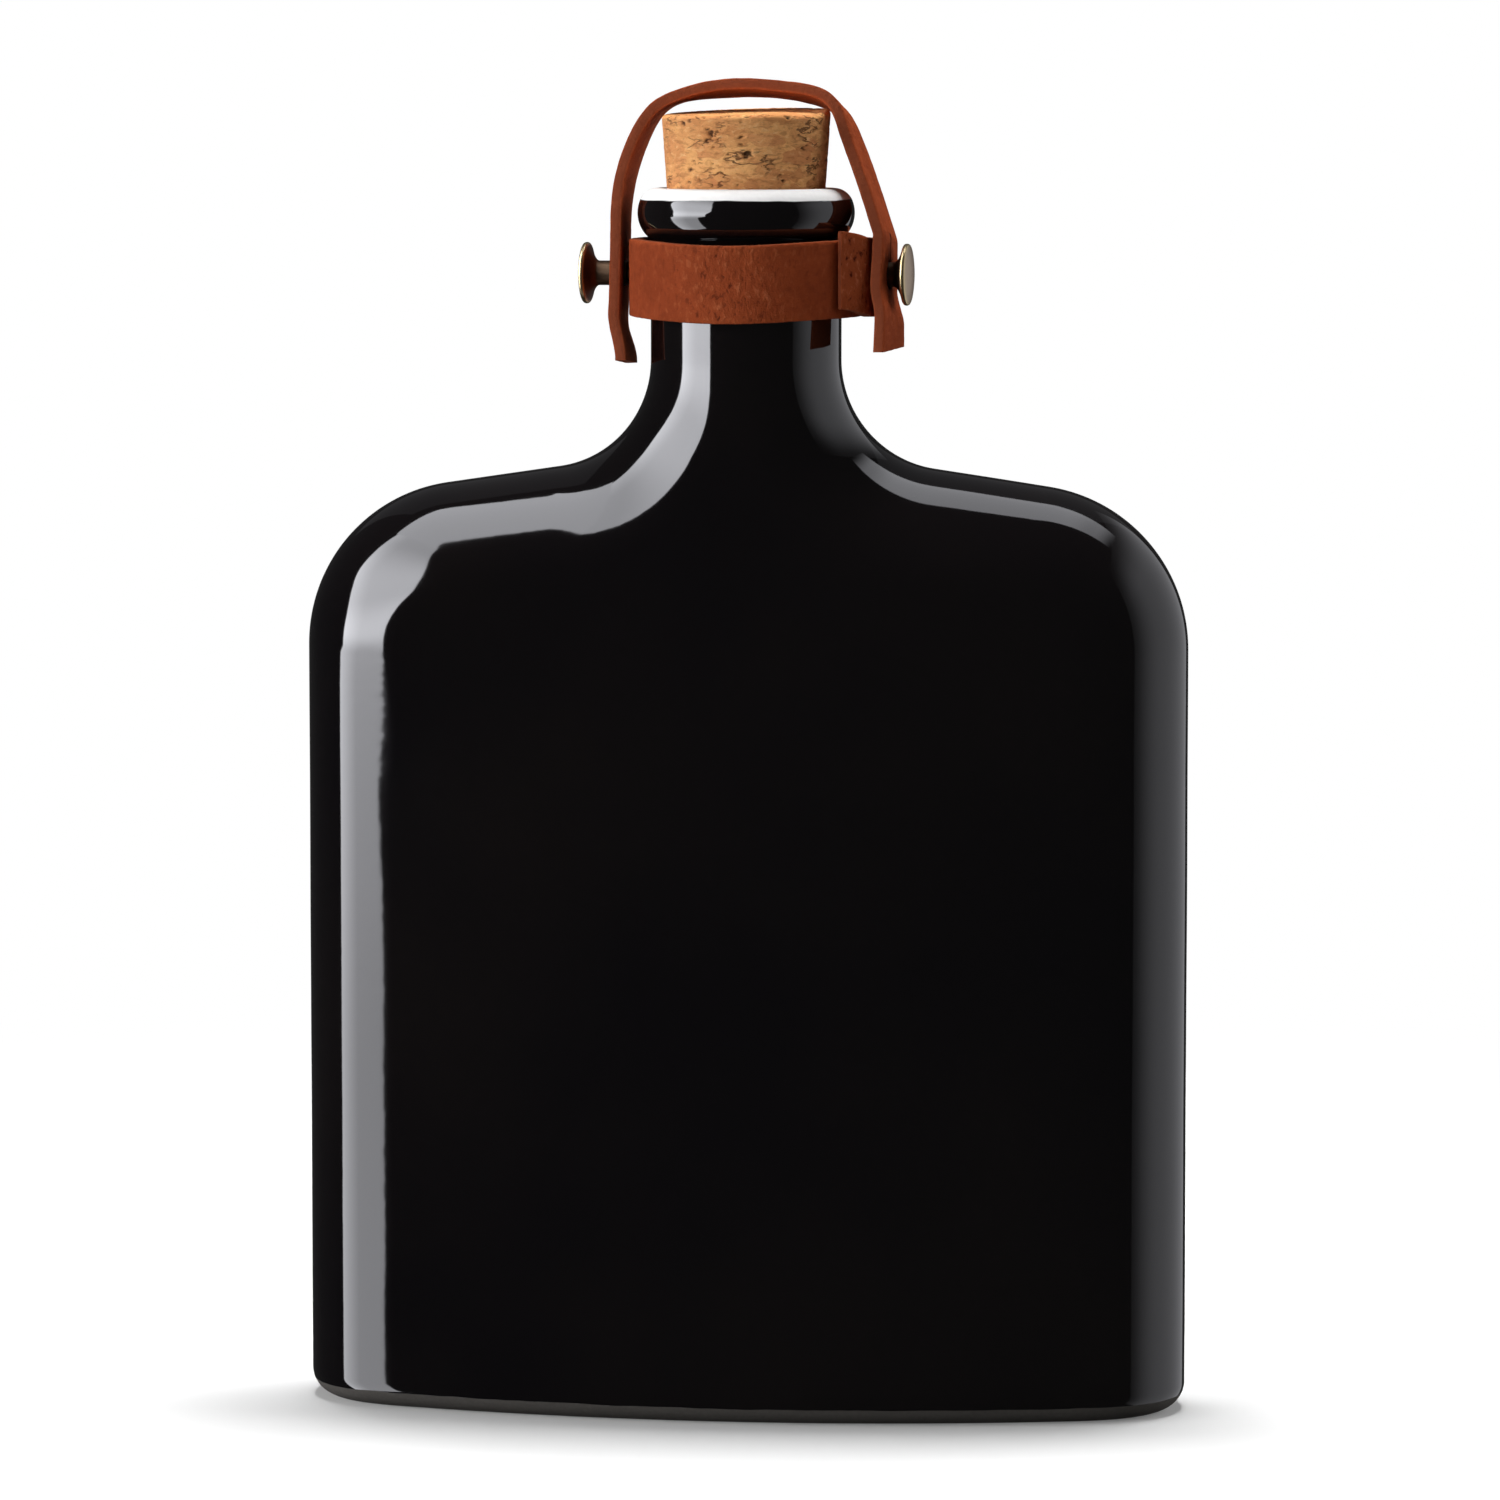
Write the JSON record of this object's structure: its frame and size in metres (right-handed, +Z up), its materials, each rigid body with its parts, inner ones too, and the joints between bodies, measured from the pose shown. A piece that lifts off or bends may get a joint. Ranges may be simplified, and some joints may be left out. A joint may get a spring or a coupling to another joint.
{
  "type": "ceramic flask",
  "caption": "Flat black-glazed ceramic flask with a cork stopper held by a leather strap on brass studs, on a leather neck collar.",
  "frame": {"origin": "middle of the flat base, on the surface that the flask stands on", "axes": "+Z up along the neck, +X across the body's width, +Y to the back, across its depth"},
  "size_m": [0.108, 0.038, 0.1623],
  "materials": {
    "glaze": "glossy black glaze",
    "cork": "bare cork with dark pits",
    "leather": "red-brown oiled leather, scuffed",
    "aged_brass": "aged brass, darkened, bright at the rim"
  },
  "bodies": {
    "flask": {"flask_body": "glaze"},
    "cork": {"cork_stopper": "cork"},
    "collar": {"neck_collar": "leather", "stud_left": "aged_brass", "stud_right": "aged_brass", "stud_screw_left": "aged_brass", "stud_screw_right": "aged_brass"},
    "strap": {"stopper_strap": "leather"}
  },
  "joints": [
    {"name": "collar_turn", "type": "hinge", "parent": "flask", "child": "collar", "pos_m": [0, 0, 0.13843], "axis": [0, 0, 1], "continuous": true},
    {"name": "strap_swing", "type": "hinge", "parent": "collar", "child": "strap", "pos_m": [0, 0, 0.13843], "axis": [-0.9969, 0.0785, 0], "range_deg": [0, 115], "deforming": ["stopper_strap"]},
    {"name": "cork_pull", "type": "slide", "parent": "flask", "child": "cork", "axis": [0, 0, 1], "range_m": [0, 0.02]}
  ],
  "couplings": [
    {"joint": "cork_pull", "follows": "strap_swing", "m_per_rad": 0.00996}
  ]
}
